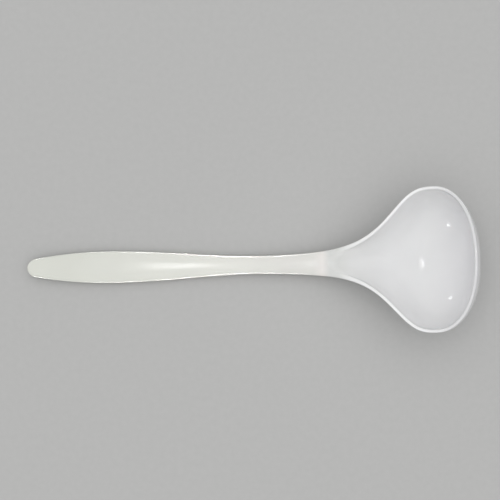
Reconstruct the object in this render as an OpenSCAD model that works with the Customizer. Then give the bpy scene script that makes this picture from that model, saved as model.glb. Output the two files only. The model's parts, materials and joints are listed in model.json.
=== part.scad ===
// Soup ladle in one moulded piece: a round bowl, a flared neck and a long crowned handle.
// It lies on its back, as on a table: the bowl's underside and the handle touch z = 0.
// The origin is the point where the bowl touches the table. +X runs towards the bowl's tip.

/* [Bowl] */
// Length of the rim from the neck to the tip
bowl_length = 97.8; // [90:0.1:106]
// Width across the outside of the rim
bowl_width = 91.6; // [84:0.2:100]
// Depth of the hollow below the rim
bowl_depth = 33.5; // [28:0.5:38]
// Thickness of the bowl's bottom
wall = 2.3; // [1.8:0.1:3.2]
// Width of the rounded lip along the rim
lip_width = 2; // [1.6:0.1:2.6]
// Width of the lip where it leaves the neck
neck_lip = 3.4; // [2.6:0.1:4.5]
// Distance from the neck to the widest part of the rim
widest_at = 70.6; // [62:0.2:74]
// Distance from the neck to the deepest part of the hollow
deepest_at = 61.2; // [56:0.2:66]
// Roundness of the bowl's front seen from above, 2 is an ellipse
front_power = 2.18; // [2:0.01:2.6]
// Fullness of the bowl's side walls, 0 is an ellipse
side_fullness = 0.2; // [0:0.05:0.4]
// Fullness of the bowl's wall at the tip, 0 is an ellipse
tip_fullness = 0.6; // [0:0.05:0.8]

/* [Neck] */
// Length over which the neck flares into the bowl
flare_reach = 32.1; // [28:0.1:36]
// Sharpness of the flare
flare_power = 2.92; // [2.6:0.01:3.6]
// Solid land between the neck's plane and the hollow
land_length = 2; // [1.5:0.1:4]
// Length over which the hollow's soft trough turns into the bowl's steep wall
trough_length = 38; // [28:1:46]

/* [Handle] */
// Length of the handle in the plane of the rim
handle_length = 181; // [165:1:210]
// Half width of the stem without the flare
stem_half = 4.7; // [4.4:0.1:6.4]
// Half width of the grip at its widest
grip_half = 10.2; // [8:0.1:13]
// Distance from the neck to the slimmest part of the stem
stem_at = 33; // [28:0.5:45]
// Distance from the neck to the widest part of the grip
grip_at = 134; // [120:1:145]
// How much the grip narrows from its widest part to its end
grip_taper = 4.2; // [2:0.1:6]
// Length of the round end
nose_length = 4.9; // [4:0.1:8]
// Rise of the stem's top over its edges
stem_crown = 0.9; // [0.5:0.1:1.4]
// Rise of the grip's top over its edges
grip_crown = 0.6; // [0.3:0.1:1.2]
// Height of the rounded upper edge
edge_drop = 1.3; // [0.9:0.1:1.8]
// Depth of the stem below its upper edge
stem_depth = 7.2; // [6:0.1:9]
// Depth of the grip below its upper edge
grip_depth = 4.8; // [4:0.1:6.5]
// Upward angle of the handle just behind the neck, against the rim
stem_angle = 19; // [12:0.5:22]
// Upward angle at the handle's end, against the rim
end_angle = 26.5; // [22:0.5:31]

/* [Hidden] */

melamine = [0.88, 0.88, 0.86];

// Spokes round half of the bowl: front, flank and neck
front_steps = 18;
flank_steps = 26;
neck_steps = 8;
half_steps = front_steps + flank_steps + neck_steps;
corner = front_steps + flank_steps;
spokes = 2 * half_steps;
// The hollow's outline is rounded over these last flank spokes
nose_spokes = 4;
// The spokes start from here, and the rings run over the lip to the same place on the underside
hub_at = widest_at;
hollow_steps = 20;
inner_lip_steps = 4;
outer_lip_steps = 5;
under_steps = 16;

rim_half = bowl_width / 2;
front_length = bowl_length - widest_at;
outer_depth = bowl_depth + wall;

// Stations along the handle, and the angle steps of its round end
stations = 40;
end_steps = 8;
end_centre = handle_length - nose_length;
// The slope grows from level at the neck to stem_angle over this length
bend_length = 5.6;
// Depth of the rounding seen from the side at the handle's end
end_round = 2.6;
// Squareness of the handle's upper section curve; the lower one is like the bowl's
stem_power = 2.4;
grip_power = 2.8;
// Power of the term that makes a section fuller than an ellipse
full_power = 10;
// Drop of the land towards the hollow
trough_drop = 0.25;
// Reach of the nose's curve at its start, and its half width at the land as a part of the width there
nose_reach = 2.5;
nose_share = 0.62;
// Power with which the heights of the hollow's edge fade towards its middle
edge_fade = 5;
// Slope of the middle lines where they reach the neck, as a part of their rise, and their bend there
hollow_ramp = 0.3;
under_ramp = 0.24;
ramp_bend = -1.5;
// Half step along the outline for its slope
probe = 0.05;

function mix(a, b, t) = a + (b - a) * t;
function clamp01(t) = max(0, min(1, t));
function smooth(t) = let (u = clamp01(t)) u * u * (3 - 2 * u);
function unit(v) = v / norm(v);

// Outline seen from above, x from the neck: the flare, the stem and the grip
function flare(x) = (rim_half - stem_half) / (1 + pow(max(0, widest_at - x) / flare_reach, flare_power));
function ease(t) = (1 - cos(180 * clamp01(t))) / 2;
function grip(d) = (grip_half - stem_half) * ease((d - stem_at) / (grip_at - stem_at))
    - grip_taper * pow(max(0, d - grip_at) / (end_centre - grip_at), 2);
function round_end(d) = d <= end_centre ? 1 : sqrt(max(0, 1 - pow((d - end_centre) / nose_length, 2)));
function half_width(x) = (stem_half + flare(x) + grip(-x)) * round_end(-x);

// Spine of the handle: height of its upper edge over the rim's plane
end_bend = (tan(end_angle) - tan(stem_angle)) / (2 * handle_length);
function spine(d) = tan(stem_angle) * (d - bend_length * (1 - exp(-d / bend_length))) + end_bend * d * d;

// Rim outline, from the tip over the flank to the neck's corner
function front_point(a) = [widest_at + front_length * pow(cos(a), 2 / front_power),
    rim_half * pow(sin(a), 2 / front_power)];
function flank_x(i) = widest_at * (1 - (i - front_steps) / flank_steps);
function rim_point(i) = i < front_steps ? front_point(90 * i / front_steps)
    : [flank_x(i), half_width(flank_x(i))];
function front_normal(a) = unit([pow(cos(a), 2 - 2 / front_power) / front_length,
    pow(sin(a), 2 - 2 / front_power) / rim_half]);
function flank_normal(x) = unit([half_width(x - probe) - half_width(x + probe), 2 * probe]);
function rim_normal(i) = i < front_steps ? front_normal(90 * i / front_steps)
    : i >= corner ? [0, 1] : flank_normal(flank_x(i));

// Section of a hollow or an underside from 1 in the middle to 0 at the edge, steeper there than an ellipse
function full_u(t, fullness) = let (s = min(1, abs(t)))
    sqrt(max(0, 1 - (1 - fullness) * s * s - fullness * pow(s, full_power)));

// Section of the handle, from the middle of its top round the edge to the middle below
top_steps = neck_steps + outer_lip_steps;
function toward_grip(d) = smooth(d / grip_at);
function section_top(d, k) = let (w = half_width(-d), c = mix(stem_crown, grip_crown, toward_grip(d)),
    p = mix(stem_power, grip_power, toward_grip(d)), a = 90 * k / top_steps)
    [w * pow(sin(a), 2 / p), -edge_drop + (c + edge_drop) * pow(cos(a), 2 / p)];
function section_under(d, k) = let (t = mix(stem_depth, grip_depth, toward_grip(d)),
    s = cos(90 * k / neck_steps))
    [half_width(-d) * s, -edge_drop - (t - edge_drop) * full_u(s, side_fullness)];

// Edge of the hollow: the rim less the lip, and a round nose behind the neck
function trough(x) = smooth((trough_length - x) / trough_length);
function lip_at(x) = mix(lip_width, neck_lip, trough(x));
function lip_inside(i) = rim_point(i) - lip_at(rim_point(i)[0]) * rim_normal(i);
nose_from = lip_inside(corner - nose_spokes);
nose_run = unit(nose_from - lip_inside(corner - nose_spokes - 1));
function bezier(a, b, c, d, t) = pow(1 - t, 3) * a + 3 * t * pow(1 - t, 2) * b
    + 3 * t * t * (1 - t) * c + t * t * t * d;
function nose_point(t) = bezier(nose_from, nose_from + nose_run * nose_reach,
    [land_length, nose_from[1] * nose_share], [land_length, 0], t);
function hollow_point(i) = i <= corner - nose_spokes ? lip_inside(i)
    : nose_point((i - corner + nose_spokes) / (nose_spokes + neck_steps));

// 1 in the neck, falling to 0 along the flank
function neckness(i) = i >= corner ? 1 : trough(rim_point(i)[0]);

// Top point and outer point of each spoke's lip, with heights
function lip_top(i) = i < corner
    ? let (p = rim_point(i) - lip_width / 2 * rim_normal(i)) [p[0], p[1], 0]
    : let (s = section_top(0, neck_steps - (i - corner))) [0, s[0], s[1]];
function lip_outer(i) = i <= corner
    ? let (p = rim_point(i)) [p[0], p[1], -edge_drop]
    : let (s = section_under(0, i - corner)) [0, s[0], s[1]];
function lip_inner(i) = let (p = hollow_point(i), t = lip_top(i))
    [p[0], p[1], mix(-lip_width / 2, t[2] - trough_drop, neckness(i))];

function inner_lip(i, j) = let (f = j / inner_lip_steps, k = neckness(i), a = lip_inner(i), b = lip_top(i),
    u = mix(1 - cos(90 * f), f, k), v = mix(sin(90 * f), 1 - (1 - f) * (1 - f), k))
    [mix(a[0], b[0], u), mix(a[1], b[1], u), mix(a[2], b[2], v)];
function outer_lip(i, j) = let (f = j / outer_lip_steps, a = lip_top(i), b = lip_outer(i))
    i == corner ? let (s = section_top(0, neck_steps + j)) [0, s[0], s[1]]
    : i > corner ? a + (b - a) * f
    : [mix(a[0], b[0], sin(90 * f)), mix(a[1], b[1], sin(90 * f)), mix(b[2], a[2], cos(90 * f))];

// Middle line of hollow and underside: a steep wall at the tip, and a rise into the neck that
// starts with the bend of the tip's side and ends with a given slope and bend.
// Across it each section ends at the edge's outline, as a full U or, near the neck, a soft trough.
function soft_u(t, k) = mix(full_u(t, side_fullness), (1 + cos(180 * min(1, abs(t)))) / 2, k);
function neck_rise(r, bend, ramp) = let (s = 1 - bend / 2, t = ramp - bend, u = ramp_bend - bend,
    c = u / 2 - 3 * t + 6 * s, b = t - 3 * s - 2 * c)
    r * r * (bend / 2 + r * (s - b - c + r * (b + r * c)));
function middle_depth(x, from, to, tip, low, ramp) = let (back = deepest_at - from, front = tip - deepest_at)
    x >= deepest_at ? low * full_u((x - deepest_at) / front, tip_fullness)
    : low - (low - to) * neck_rise(clamp01((deepest_at - x) / back),
        (1 - tip_fullness) * low / (low - to) * pow(back / front, 2), ramp);
function share(k, steps) = k == 0 ? 0 : sin(90 * (k - 0.5) / (steps - 0.5));
hollow_edge = [for (i = [0 : half_steps]) hollow_point(i)];
rim_edge = [for (i = [0 : corner]) rim_point(i)];
function along(p, r) = [mix(hub_at, p[0], r), p[1] * r];
function hollow(i, k) = let (p = lip_inner(i), r = share(k, hollow_steps), q = along(p, r),
    c = middle_depth(q[0], land_length, 0, hollow_edge[0][0], bowl_depth - lip_width / 2, hollow_ramp),
    u = soft_u(q[1] / lookup(q[0], hollow_edge), trough(q[0])))
    k == hollow_steps ? p : [q[0], q[1], mix(-lip_width / 2, p[2], pow(r, edge_fade)) - c * u];
function under(i, k) = let (p = lip_outer(i), q = along(p, share(k, under_steps)),
    c = middle_depth(q[0], 0, stem_depth - edge_drop, bowl_length, outer_depth - edge_drop, under_ramp))
    k == under_steps ? p
    : [q[0], q[1], -edge_drop - c * full_u(q[1] / lookup(q[0], rim_edge), side_fullness)];

// Sections of the handle at a distance d from the neck
function end_scale(d) = let (s = handle_length - d)
    s >= end_round ? 1 : sqrt(max(0, 1 - pow(1 - s / end_round, 2)));
function station(k) = k <= stations ? end_centre * k / stations
    : end_centre + nose_length * sin(90 * (k - stations) / end_steps);
function half_section(d) = [for (k = [0 : top_steps]) section_top(d, k),
    for (k = [1 : neck_steps]) section_under(d, k)];
function handle_half(d) = let (f = end_scale(d), z = spine(d))
    [for (s = half_section(d)) [-d, s[0], z - edge_drop + (s[1] + edge_drop) * f]];

// Resting tilt: the tip is tipped up until bowl and handle touch the table together
function height_at(p, tilt) = p[0] * sin(tilt) + p[2] * cos(tilt);
bowl_line = [for (i = [front_steps : half_steps], k = [0 : under_steps - 1]) under(i, k)];
handle_line = [for (k = [0 : stations + end_steps - 1]) let (h = handle_half(station(k))) h[len(h) - 1]];
function lowest(line, tilt) = min([for (p = line) height_at(p, tilt)]);
function find_tilt(lo, hi, n) = let (mid = (lo + hi) / 2) n == 0 ? mid
    : lowest(handle_line, mid) > lowest(bowl_line, mid) ? find_tilt(mid, hi, n - 1)
    : find_tilt(lo, mid, n - 1);
rest_tilt = find_tilt(0, 60, 40);
touching = [for (p = bowl_line) if (height_at(p, rest_tilt) <= lowest(bowl_line, rest_tilt) + 1e-9) p][0];
contact = [touching[0], 0, touching[2]];
function lay(p) = [(p[0] - contact[0]) * cos(rest_tilt) - (p[2] - contact[2]) * sin(rest_tilt), p[1],
    height_at(p - contact, rest_tilt)];

function mirror_y(p) = [p[0], -p[1], p[2]];
function full_ring(half) = let (n = len(half) - 1)
    [for (i = [0 : n]) half[i], for (i = [n - 1 : -1 : 1]) mirror_y(half[i])];
function quads(rings, n, first) = [for (j = [0 : rings - 2], i = [0 : n - 1])
    let (a = first + j * n + i, b = first + j * n + (i + 1) % n, c = a + n, d = b + n)
    each [[a, b, d], [a, d, c]]];

module bowl() {
    rings = [
        for (k = [1 : hollow_steps]) full_ring([for (i = [0 : half_steps]) hollow(i, k)]),
        for (j = [1 : inner_lip_steps]) full_ring([for (i = [0 : half_steps]) inner_lip(i, j)]),
        for (j = [1 : outer_lip_steps]) full_ring([for (i = [0 : half_steps]) outer_lip(i, j)]),
        for (k = [under_steps - 1 : -1 : 1]) full_ring([for (i = [0 : half_steps]) under(i, k)])
    ];
    last = 1 + len(rings) * spokes;
    points = [hollow(0, 0), for (r = rings) each r, under(0, 0)];
    faces = [
        for (i = [0 : spokes - 1]) [0, 1 + (i + 1) % spokes, 1 + i],
        each quads(len(rings), spokes, 1),
        for (i = [0 : spokes - 1]) [last, last - spokes + i, last - spokes + (i + 1) % spokes]
    ];
    color(melamine) polyhedron([for (p = points) lay(p)], faces, convexity = 6);
}

module handle() {
    rings = [for (k = [0 : stations + end_steps - 1])
        full_ring([for (p = handle_half(station(k))) mirror_y(p)])];
    around = len(rings[0]);
    last = len(rings) * around;
    end_point = [-handle_length, 0, spine(handle_length) - edge_drop];
    faces = [
        [for (i = [around - 1 : -1 : 0]) i],
        each quads(len(rings), around, 0),
        for (i = [0 : around - 1]) [last, last - around + i, last - around + (i + 1) % around]
    ];
    color(melamine) polyhedron([for (p = [for (r = rings) each r, end_point]) lay(p)], faces, convexity = 4);
}

bowl();
handle();
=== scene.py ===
import bpy
import json
import math
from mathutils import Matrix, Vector

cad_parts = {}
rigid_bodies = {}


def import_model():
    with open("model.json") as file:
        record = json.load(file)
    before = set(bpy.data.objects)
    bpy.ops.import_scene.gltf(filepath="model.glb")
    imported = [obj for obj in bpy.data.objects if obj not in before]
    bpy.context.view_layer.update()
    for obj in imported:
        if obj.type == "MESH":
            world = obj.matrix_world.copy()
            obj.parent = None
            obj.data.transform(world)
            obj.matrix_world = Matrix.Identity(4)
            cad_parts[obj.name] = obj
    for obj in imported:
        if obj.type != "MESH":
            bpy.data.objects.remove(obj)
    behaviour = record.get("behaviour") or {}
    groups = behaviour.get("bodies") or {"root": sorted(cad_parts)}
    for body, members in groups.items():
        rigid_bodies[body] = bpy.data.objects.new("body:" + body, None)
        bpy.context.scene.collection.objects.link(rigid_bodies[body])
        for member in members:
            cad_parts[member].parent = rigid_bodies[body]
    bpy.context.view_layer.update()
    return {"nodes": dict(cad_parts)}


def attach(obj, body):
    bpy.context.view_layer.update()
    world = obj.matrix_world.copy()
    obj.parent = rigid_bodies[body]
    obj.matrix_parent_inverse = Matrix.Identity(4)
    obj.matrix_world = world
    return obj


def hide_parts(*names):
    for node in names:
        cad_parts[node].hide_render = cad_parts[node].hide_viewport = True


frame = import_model()
print("stage: frame loaded")


def deselectAll():
    for item in bpy.context.scene.objects:
        item.select_set(False)


# camera: what a user would move to reframe the picture, metres and degrees
viewCamera = {
    "place": (-0.1053, -0.0418, 0.6596),
    "tip": 4.521,      # leans north by this much from straight down
    "turn": -0.796,    # small roll of the picture
    "lens": 72.0,      # millimetres, on the sensor below
    "sensor": 36.0,
    "nearest": 0.01,
    "furthest": 20.0,
}


def addCamera(spec):
    bpy.ops.object.camera_add(location=spec["place"],
                              rotation=(math.radians(spec["tip"]), 0, math.radians(spec["turn"])))
    camera = bpy.context.object
    camera.data.sensor_width = spec["sensor"]
    camera.data.lens = spec["lens"]
    camera.data.clip_start = spec["nearest"]
    camera.data.clip_end = spec["furthest"]
    bpy.context.scene.camera = camera


addCamera(viewCamera)
print("stage: camera placed")

# ladle: the two CAD regions are one moulding, so their copies are joined and smoothed
ladleMoulding = {
    "regions": ("bowl", "handle"),
    "neckPlace": (-0.0554, 0.0, 0.0115),  # a point of the plane where bowl and handle meet
    "restTilt": 23.78,                    # degrees that the rim is tipped up
    "weld": 0.000002,                     # metres between corners that count as one
    "planeReach": 0.00012,                # how near the joint plane a face lies
    "fanEdges": 20,                       # a corner with this many edges is the hub of a fan
    "pairAngle": 3.1,                     # radians, wide enough for every two triangles to pair up
    "pairInRows": 2.0,                    # how strongly the pairs keep to rows
    "smoothLevels": 1,
}


def copyRegions(spec):
    deselectAll()
    for nodeName in spec["regions"]:
        frame["nodes"][nodeName].select_set(True)
    bpy.context.view_layer.objects.active = frame["nodes"][spec["regions"][0]]
    bpy.ops.object.duplicate()
    copies = list(bpy.context.selected_objects)
    for item in copies:
        for key in list(item.keys()):
            del item[key]
        item.data.materials.clear()
    bpy.context.view_layer.objects.active = copies[0]
    bpy.ops.object.join()
    piece = bpy.context.view_layer.objects.active
    piece.name = "ladle"
    piece.data.name = "ladle"
    return piece


def weldNeck(piece, spec):
    # the two end faces inside the joint go, so that the skin runs through without a wall
    bpy.ops.object.mode_set(mode="EDIT")
    bpy.ops.mesh.select_mode(type="VERT")
    bpy.ops.mesh.select_all(action="SELECT")
    bpy.ops.mesh.remove_doubles(threshold=spec["weld"])
    bpy.ops.mesh.select_all(action="DESELECT")
    bpy.ops.mesh.select_mode(type="FACE")
    bpy.ops.object.mode_set(mode="OBJECT")
    tilt = math.radians(spec["restTilt"])
    across = Vector((math.cos(tilt), 0, math.sin(tilt)))
    origin = Vector(spec["neckPlace"])
    mesh = piece.data
    fromPlane = [abs((v.co - origin).dot(across)) for v in mesh.vertices]
    nearest = min(fromPlane)
    jointFaces = 0
    for face in mesh.polygons:
        face.select = all(fromPlane[i] < nearest + spec["planeReach"] for i in face.vertices)
        jointFaces += face.select
    bpy.ops.object.mode_set(mode="EDIT")
    bpy.ops.mesh.delete(type="FACE")
    bpy.ops.mesh.select_mode(type="EDGE")
    bpy.ops.mesh.select_non_manifold()
    bpy.ops.object.mode_set(mode="OBJECT")
    openEdges = sum(edge.select for edge in mesh.edges)
    print("joint faces taken out:", jointFaces, "open edges left:", openEdges)


def pickStrips(piece, spec):
    # the triangles of the strips pair up again, those of a fan round a hub stay as they are
    mesh = piece.data
    edgesAt = [0] * len(mesh.vertices)
    for edge in mesh.edges:
        for i in edge.vertices:
            edgesAt[i] += 1
    for face in mesh.polygons:
        face.select = all(edgesAt[i] < spec["fanEdges"] for i in face.vertices)


def smoothSkin(piece, spec):
    bpy.ops.object.mode_set(mode="EDIT")
    bpy.ops.mesh.select_mode(type="FACE")
    bpy.ops.mesh.select_all(action="DESELECT")
    bpy.ops.object.mode_set(mode="OBJECT")
    pickStrips(piece, spec)
    bpy.ops.object.mode_set(mode="EDIT")
    bpy.ops.mesh.tris_convert_to_quads(face_threshold=spec["pairAngle"], shape_threshold=spec["pairAngle"],
                                       topology_influence=spec["pairInRows"])
    bpy.ops.mesh.select_all(action="SELECT")
    bpy.ops.mesh.normals_make_consistent(inside=False)
    bpy.ops.object.mode_set(mode="OBJECT")
    bpy.ops.object.modifier_add(type="SUBSURF")
    skin = piece.modifiers[-1]
    skin.levels = spec["smoothLevels"]
    skin.render_levels = spec["smoothLevels"]
    bpy.ops.object.modifier_apply(modifier=skin.name)
    bpy.ops.object.shade_smooth()


ladle = copyRegions(ladleMoulding)
weldNeck(ladle, ladleMoulding)
smoothSkin(ladle, ladleMoulding)
print("stage: ladle skin made,", len(ladle.data.polygons), "faces")

# melamine: white, hard and glossy, a little warmer towards the grip, with painted light and shade
# along it. every spot is a share of the way from the handle's end to the bowl's tip
melamineLook = {
    "gripColour": (0.630, 0.640, 0.588),
    "stemColour": (0.702, 0.704, 0.660),
    # painted shade over the bend, which dims the highlight there
    "bendShadeColour": (0.662, 0.656, 0.628),
    # a painted highlight where the neck turns into the hollow
    "neckHighlightColour": (0.745, 0.722, 0.700),
    # painted shade in the trough and where the hollow begins
    "troughShadeColour": (0.618, 0.624, 0.610),
    "hollowShadeColour": (0.692, 0.694, 0.690),
    # the bowl painted lighter than the handle, against the shade of its hollow
    "bowlLightenedColour": (0.785, 0.787, 0.790),
    # painted shade on the front wall at the tip
    "tipShadeColour": (0.755, 0.753, 0.770),
    "toneAndShadeSpots": ((0.0, "gripColour"), (0.10, "gripColour"), (0.46, "stemColour"),
                  (0.60, "bendShadeColour"), (0.64, "bendShadeColour"), (0.661, "neckHighlightColour"),
                  (0.676, "troughShadeColour"), (0.695, "troughShadeColour"), (0.725, "hollowShadeColour"),
                  (0.81, "bowlLightenedColour"), (0.90, "bowlLightenedColour"), (1.0, "tipShadeColour")),
    "span": (-0.250, 0.041),          # where the handle ends and where the bowl's tip is, metres
    "handleLift": 1.05,               # share by which the tone is lifted above the rim: on the handle, on the bowl's lip along the flanks, a painted highlight, and on the lip at the tip, painted shade where it turns from the light
    "lipHighlightLift": 1.17,                  # on the bowl's lip along the flanks, rubbed smooth,
    "tipShadeLift": 0.90,                  # and on the lip at the tip, which turns from the light
    "lipSpots": (0.69, 0.715),        # from the handle's lift to the lip's
    "tipSpots": (0.86, 0.93),         # from the lip's lift to the tip's
    "lipDepth": 0.0012,               # metres below the rim that the lift reaches
    "handleGloss": 0.105,             # roughness of the handle
    "neckGloss": 0.21,                # roughness where the neck turns into the hollow
    "bowlGloss": 0.105,               # roughness of the bowl
    "glossSpots": ((0.0, "handleGloss"), (0.54, "handleGloss"), (0.61, "neckGloss"),
                   (0.69, "neckGloss"), (0.77, "bowlGloss")),
    "lensLike": 1.58,                 # index of refraction of cured melamine
    "glow": 0.06,                     # how much light wanders under the skin
    "glowReach": (1.0, 0.9, 0.8),     # how far each colour wanders, times the depth
    "glowDepth": 0.0015,
    # noise on the skin: "size" is its scale per metre, "stretch" the scale along the ladle, across
    # it and up, "shift" another place of the noise, "range" the part of its values that counts
    "mottle": {"amount": 0.03, "size": 55.0, "detail": 4.0, "range": (0.3, 0.7)},
    "wipeMarks": {"amount": 0.05, "stretch": (26, 90, 60), "shift": (3.1, 0.4, 1.7),
                  "detail": 5.0, "range": (0.45, 0.80)},
    "scratches": {"strength": 0.05, "depth": 0.0001, "stretch": (70, 2600, 900),
                  "detail": 2.0, "range": (0.60, 0.72)},
    "skin": {"strength": 0.05, "depth": 0.0003, "size": 520.0, "detail": 2.0},
}


def newMaterial(name):
    made = bpy.data.materials.new(name)
    made.use_nodes = True
    made.node_tree.nodes.clear()
    return made, made.node_tree.nodes, made.node_tree.links


def feed(links, socket, value):
    # a socket takes either a number or what another node gives
    if isinstance(value, bpy.types.NodeSocket):
        links.new(value, socket)
    else:
        socket.default_value = value


def noiseNode(nodes, links, source, pattern):
    if "stretch" in pattern:
        mapping = nodes.new("ShaderNodeMapping")
        feed(links, mapping.inputs["Scale"], pattern["stretch"])
        feed(links, mapping.inputs["Location"], pattern.get("shift", (0, 0, 0)))
        feed(links, mapping.inputs["Vector"], source)
        source = mapping.outputs["Vector"]
    noise = nodes.new("ShaderNodeTexNoise")
    feed(links, noise.inputs["Scale"], pattern.get("size", 1.0))
    feed(links, noise.inputs["Detail"], pattern["detail"])
    feed(links, noise.inputs["Vector"], source)
    return noise.outputs["Fac"]


def mapRange(nodes, links, source, low, high, toLow, toHigh):
    node = nodes.new("ShaderNodeMapRange")
    feed(links, node.inputs["Value"], source)
    feed(links, node.inputs["From Min"], low)
    feed(links, node.inputs["From Max"], high)
    feed(links, node.inputs["To Min"], toLow)
    feed(links, node.inputs["To Max"], toHigh)
    return node.outputs["Result"]


def mathNode(nodes, links, operation, first, second):
    node = nodes.new("ShaderNodeMath")
    node.operation = operation
    feed(links, node.inputs[0], first)
    feed(links, node.inputs[1], second)
    return node.outputs["Value"]


def vectorNode(nodes, links, operation, first, second, output="Vector"):
    node = nodes.new("ShaderNodeVectorMath")
    node.operation = operation
    feed(links, node.inputs[0], first)
    feed(links, node.inputs["Scale" if operation == "SCALE" else 1], second)
    return node.outputs[output]


def rampNode(nodes, links, source, stops):
    node = nodes.new("ShaderNodeValToRGB")
    while len(node.color_ramp.elements) < len(stops):
        node.color_ramp.elements.new(0.5)
    for element, (spot, colour) in zip(node.color_ramp.elements, stops):
        element.position = spot
        element.color = (*colour, 1)
    feed(links, node.inputs["Fac"], source)
    return node.outputs["Color"]


def bumpNode(nodes, links, height, pattern):
    node = nodes.new("ShaderNodeBump")
    feed(links, node.inputs["Height"], height)
    feed(links, node.inputs["Strength"], pattern["strength"])
    feed(links, node.inputs["Distance"], pattern["depth"])
    return node


def mottledTone(nodes, links, coords, tone, pattern, lift=None):
    # the tone, darker in patches by up to the pattern's amount
    patches = noiseNode(nodes, links, coords, pattern)
    shade = mapRange(nodes, links, patches, *pattern["range"], 1.0 - pattern["amount"], 1.0)
    if lift:
        shade = mathNode(nodes, links, "MULTIPLY", shade, lift)
    return vectorNode(nodes, links, "SCALE", tone, shade)


def paintedLightAtRim(nodes, links, coords, along, look, moulding):
    # the tone's lift above the rim plane, 1 below it: a painted highlight on the lip's flanks, painted shade
    # on the lip at the tip
    tilt = math.radians(moulding["restTilt"])
    upFromRim = (-math.sin(tilt), 0, math.cos(tilt))
    fromNeck = vectorNode(nodes, links, "SUBTRACT", coords, moulding["neckPlace"])
    overRim = vectorNode(nodes, links, "DOT_PRODUCT", fromNeck, upFromRim, "Value")
    flankLift = mapRange(nodes, links, along, *look["lipSpots"], look["handleLift"], look["lipHighlightLift"])
    fullLift = mapRange(nodes, links, along, *look["tipSpots"], flankLift, look["tipShadeLift"])
    return mapRange(nodes, links, overRim, -look["lipDepth"], 0.0, 1.0, fullLift)


def makeMelamine(look, moulding):
    made, nodes, links = newMaterial("glossyMelamine")
    coords = nodes.new("ShaderNodeTexCoord").outputs["Object"]
    axes = nodes.new("ShaderNodeSeparateXYZ")
    feed(links, axes.inputs["Vector"], coords)
    along = mapRange(nodes, links, axes.outputs["X"], *look["span"], 0.0, 1.0)

    # the tone along the ladle holds painted light and shade, and the lift at the rim a painted highlight on
    # the lip
    tone = rampNode(nodes, links, along, [(spot, look[name]) for spot, name in look["toneAndShadeSpots"]])
    lift = paintedLightAtRim(nodes, links, coords, along, look, moulding)
    tinted = mottledTone(nodes, links, coords, tone, look["mottle"], lift)

    polish = rampNode(nodes, links, along, [(spot, [look[name]] * 3) for spot, name in look["glossSpots"]])
    wipe = look["wipeMarks"]
    marks = mapRange(nodes, links, noiseNode(nodes, links, coords, wipe), *wipe["range"], 0.0, wipe["amount"])
    rough = mathNode(nodes, links, "ADD", polish, marks)

    skin, scratches = look["skin"], look["scratches"]
    bumpSkin = bumpNode(nodes, links, noiseNode(nodes, links, coords, skin), skin)
    scratch = noiseNode(nodes, links, coords, scratches)
    hairs = mapRange(nodes, links, scratch, *scratches["range"], 0.0, 1.0)
    bumpHairs = bumpNode(nodes, links, hairs, scratches)
    bumpHairs.invert = True
    feed(links, bumpHairs.inputs["Normal"], bumpSkin.outputs["Normal"])

    shader = nodes.new("ShaderNodeBsdfPrincipled")
    feed(links, shader.inputs["Base Color"], tinted)
    feed(links, shader.inputs["Roughness"], rough)
    feed(links, shader.inputs["Normal"], bumpHairs.outputs["Normal"])
    feed(links, shader.inputs["IOR"], look["lensLike"])
    feed(links, shader.inputs["Subsurface Weight"], look["glow"])
    feed(links, shader.inputs["Subsurface Radius"], look["glowReach"])
    feed(links, shader.inputs["Subsurface Scale"], look["glowDepth"])
    out = nodes.new("ShaderNodeOutputMaterial")
    feed(links, out.inputs["Surface"], shader.outputs["BSDF"])
    return made


ladle.data.materials.clear()
ladle.data.materials.append(makeMelamine(melamineLook, ladleMoulding))
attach(ladle, "root")
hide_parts("bowl", "handle")
print("stage: melamine on")

# floor: a plain pale sheet under the ladle
floorSheet = {
    "size": 30.0,
    "centre": (-0.1, 0, 0),
    "colour": (0.46, 0.46, 0.455),
    "grain": {"amount": 0.03, "size": 260.0, "detail": 3.0, "range": (0.3, 0.7)},
    "roughness": 1.0,
    "shine": 0.0,          # no reflection, so no lamp shows in it
}


def addFloor(spec):
    deselectAll()
    bpy.ops.mesh.primitive_plane_add(size=spec["size"], location=spec["centre"])
    floor = bpy.context.object
    floor.name = "floor"
    made, nodes, links = newMaterial("paleFloor")
    coords = nodes.new("ShaderNodeTexCoord").outputs["Object"]
    tinted = mottledTone(nodes, links, coords, spec["colour"], spec["grain"])
    shader = nodes.new("ShaderNodeBsdfPrincipled")
    feed(links, shader.inputs["Base Color"], tinted)
    feed(links, shader.inputs["Roughness"], spec["roughness"])
    feed(links, shader.inputs["Specular IOR Level"], spec["shine"])
    out = nodes.new("ShaderNodeOutputMaterial")
    feed(links, out.inputs["Surface"], shader.outputs["BSDF"])
    floor.data.materials.append(made)


addFloor(floorSheet)
print("stage: floor laid")

# lamps: "size" is across the lamp's aim and then up it, "spread" the beam in degrees.
# one small lamp gives the streak on the stem, narrow ones the three glints in the bowl
studioLamps = {
    "streak": {"place": (-0.219, 0.045, 0.65), "size": (0.04, 0.04), "power": 0.034,
               "aim": (-0.15, 0.0, 0.01), "spread": 180.0},
    "glint": {"place": (-0.215, 0.050, 0.65), "size": (0.010, 0.100), "power": 0.0017,
              "aim": (0.01, 0.0, 0.004), "spread": 22.0},
    "farGlint": {"place": (-0.454, 0.409, 0.288), "size": (0.032, 0.032), "power": 0.0008,
                 "aim": (0.024, -0.024, 0.015), "spread": 22.0},
    "nearGlint": {"place": (-0.489, -0.337, 0.325), "size": (0.032, 0.032), "power": 0.0008,
                  "aim": (0.024, 0.024, 0.015), "spread": 22.0},
}
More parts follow.
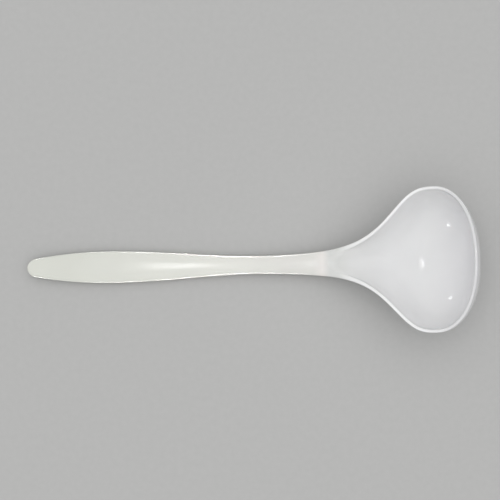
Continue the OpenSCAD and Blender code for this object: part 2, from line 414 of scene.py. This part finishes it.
# long low lamps in pairs, one on each side, for the bright edges of the handle. they show only
# as reflections: their light would flatten the ladle and draw pools on the floor
edgeStrips = {
    "Strip": {"x": -0.26, "length": 0.28, "power": 0.13, "aimX": -0.26, "spread": 26.0},
    "NeckStrip": {"x": -0.12, "length": 0.10, "power": 0.0065, "aimX": -0.09, "spread": 7.0},
    "GripStrip": {"x": -0.56, "length": 0.20, "power": 0.07, "aimX": -0.24, "spread": 18.0},
}
stripPlace = {"sides": {"far": 0.75, "near": -0.75}, "height": 0.16, "thick": 0.12, "aimHeight": 0.01}


def addLamp(name, spec):
    place = Vector(spec["place"])
    aim = (Vector(spec["aim"]) - place).to_track_quat("-Z", "Y").to_euler()
    bpy.ops.object.light_add(type="AREA", location=place, rotation=aim)
    lamp = bpy.context.object
    lamp.name = name
    lamp.data.shape = "ELLIPSE"
    lamp.data.size, lamp.data.size_y = spec["size"]
    lamp.data.energy = spec["power"]
    lamp.data.spread = math.radians(spec["spread"])
    return lamp


def addStripPair(name, strip, common):
    for side, away in common["sides"].items():
        lamp = addLamp(side + name, {
            "place": (strip["x"], away, common["height"]), "size": (strip["length"], common["thick"]),
            "power": strip["power"], "aim": (strip["aimX"], 0.0, common["aimHeight"]),
            "spread": strip["spread"]})
        lamp.visible_diffuse = False


for lampName, lampSpec in studioLamps.items():
    addLamp(lampName, lampSpec)
for stripName, stripSpec in edgeStrips.items():
    addStripPair(stripName, stripSpec, stripPlace)

# the room lights the ladle mostly from its ceiling, and is seen as a plain pale backdrop
studioSky = {"strength": 1.45, "horizon": 0.15, "ceiling": 1.0, "backdrop": 0.82}


def addSky(spec):
    sky = bpy.data.worlds.new("studioSky")
    sky.use_nodes = True
    nodes, links = sky.node_tree.nodes, sky.node_tree.links
    axes = nodes.new("ShaderNodeSeparateXYZ")
    feed(links, axes.inputs["Vector"], nodes.new("ShaderNodeTexCoord").outputs["Object"])
    room = nodes["Background"]
    feed(links, room.inputs["Color"],
         mapRange(nodes, links, axes.outputs["Z"], 0.0, 1.0, spec["horizon"], spec["ceiling"]))
    feed(links, room.inputs["Strength"], spec["strength"])
    backdrop = nodes.new("ShaderNodeBackground")
    feed(links, backdrop.inputs["Color"], (*[spec["backdrop"]] * 3, 1))
    rays = nodes.new("ShaderNodeLightPath")
    seen = rays.outputs["Is Camera Ray"]
    for other in ("Is Glossy Ray", "Is Transmission Ray"):
        seen = mathNode(nodes, links, "MAXIMUM", seen, rays.outputs[other])
    pick = nodes.new("ShaderNodeMixShader")
    feed(links, pick.inputs["Fac"], seen)
    feed(links, pick.inputs[1], room.outputs["Background"])
    feed(links, pick.inputs[2], backdrop.outputs["Background"])
    feed(links, nodes["World Output"].inputs["Surface"], pick.outputs["Shader"])
    bpy.context.scene.world = sky


addSky(studioSky)
bpy.context.scene.view_settings.view_transform = "Standard"
print("stage: light set")
